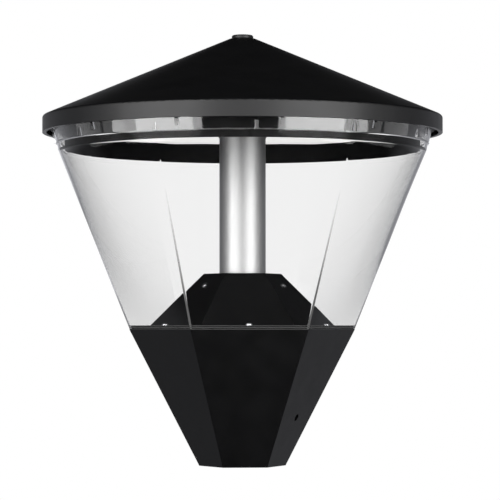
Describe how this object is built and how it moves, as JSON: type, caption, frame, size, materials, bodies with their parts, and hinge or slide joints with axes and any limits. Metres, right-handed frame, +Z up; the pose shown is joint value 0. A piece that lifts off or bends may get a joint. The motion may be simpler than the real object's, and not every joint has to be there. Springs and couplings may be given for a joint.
{
  "type": "post top lantern",
  "caption": "Black post top lantern: tapered hexagonal foot, clear bowl that turns from hexagon to circle, bright column and a shallow conical canopy with its light unit inside.",
  "frame": {"origin": "centre of the post socket's mouth, in the plane of the hexagonal foot that the lantern stands on", "axes": "+Z up along the post's axis, -Y out of the facet that faces the front"},
  "size_m": [0.5, 0.5, 0.5381],
  "materials": {
    "black_paint": "satin powder coat",
    "cast_aluminium": "as cast",
    "satin_aluminium": "satin anodised",
    "white_paint": "matt",
    "plated_steel": "zinc plated",
    "clear_bowl": "clear, glossy",
    "opal_plastic": "opal, satin",
    "black_rubber": "matt",
    "black_plastic": "moulded",
    "grey_plastic": "moulded",
    "white_plastic": "moulded",
    "white_board": "solder mask"
  },
  "bodies": {
    "base": {"base_housing": "black_paint", "post_socket": "cast_aluminium", "socket_screws": "plated_steel", "cable_gland": "black_plastic", "gland_nut": "black_plastic", "gear_tray": "plated_steel", "driver": "grey_plastic", "surge_protector": "grey_plastic", "terminal_block": "white_plastic", "gear_cover": "black_paint", "cover_screws": "plated_steel", "cover_bracket": "cast_aluminium", "side_screws": "plated_steel", "column": "satin_aluminium", "column_foot": "satin_aluminium", "foot_screws": "plated_steel", "column_head": "satin_aluminium", "bowl_gasket": "black_rubber"},
    "bowl_body": {"bowl": "clear_bowl"},
    "canopy_body": {"canopy": "black_paint", "canopy_seal": "black_rubber", "light_ring": "black_paint", "opal_plate": "opal_plastic", "led_carrier": "white_paint", "led_boards": "white_board", "ring_screws": "plated_steel", "spacers": "cast_aluminium", "spacer_screws": "plated_steel", "cap_washer": "black_rubber"},
    "cap_body": {"cap_screw": "black_paint", "retaining_ring": "plated_steel"},
    "grub_body_1": {"grub_screw_1": "plated_steel"},
    "grub_body_2": {"grub_screw_2": "plated_steel"}
  },
  "joints": [
    {"name": "bowl_lift", "type": "slide", "parent": "base", "child": "bowl_body", "axis": [0, 0, 1], "range_m": [0, 0.26]},
    {"name": "canopy_lift", "type": "slide", "parent": "bowl_body", "child": "canopy_body", "axis": [0, 0, 1], "range_m": [0, 0.12]},
    {"name": "cap_turn", "type": "hinge", "parent": "canopy_body", "child": "cap_body", "pos_m": [0, 0, 0.534], "axis": [0, 0, 1], "continuous": true},
    {"name": "set_screw_1", "type": "slide", "parent": "base", "child": "grub_body_1", "axis": [-0.866, 0.5, 0], "range_m": [0, 0.008]},
    {"name": "set_screw_2", "type": "slide", "parent": "base", "child": "grub_body_2", "axis": [0.866, -0.5, 0], "range_m": [0, 0.008]}
  ]
}
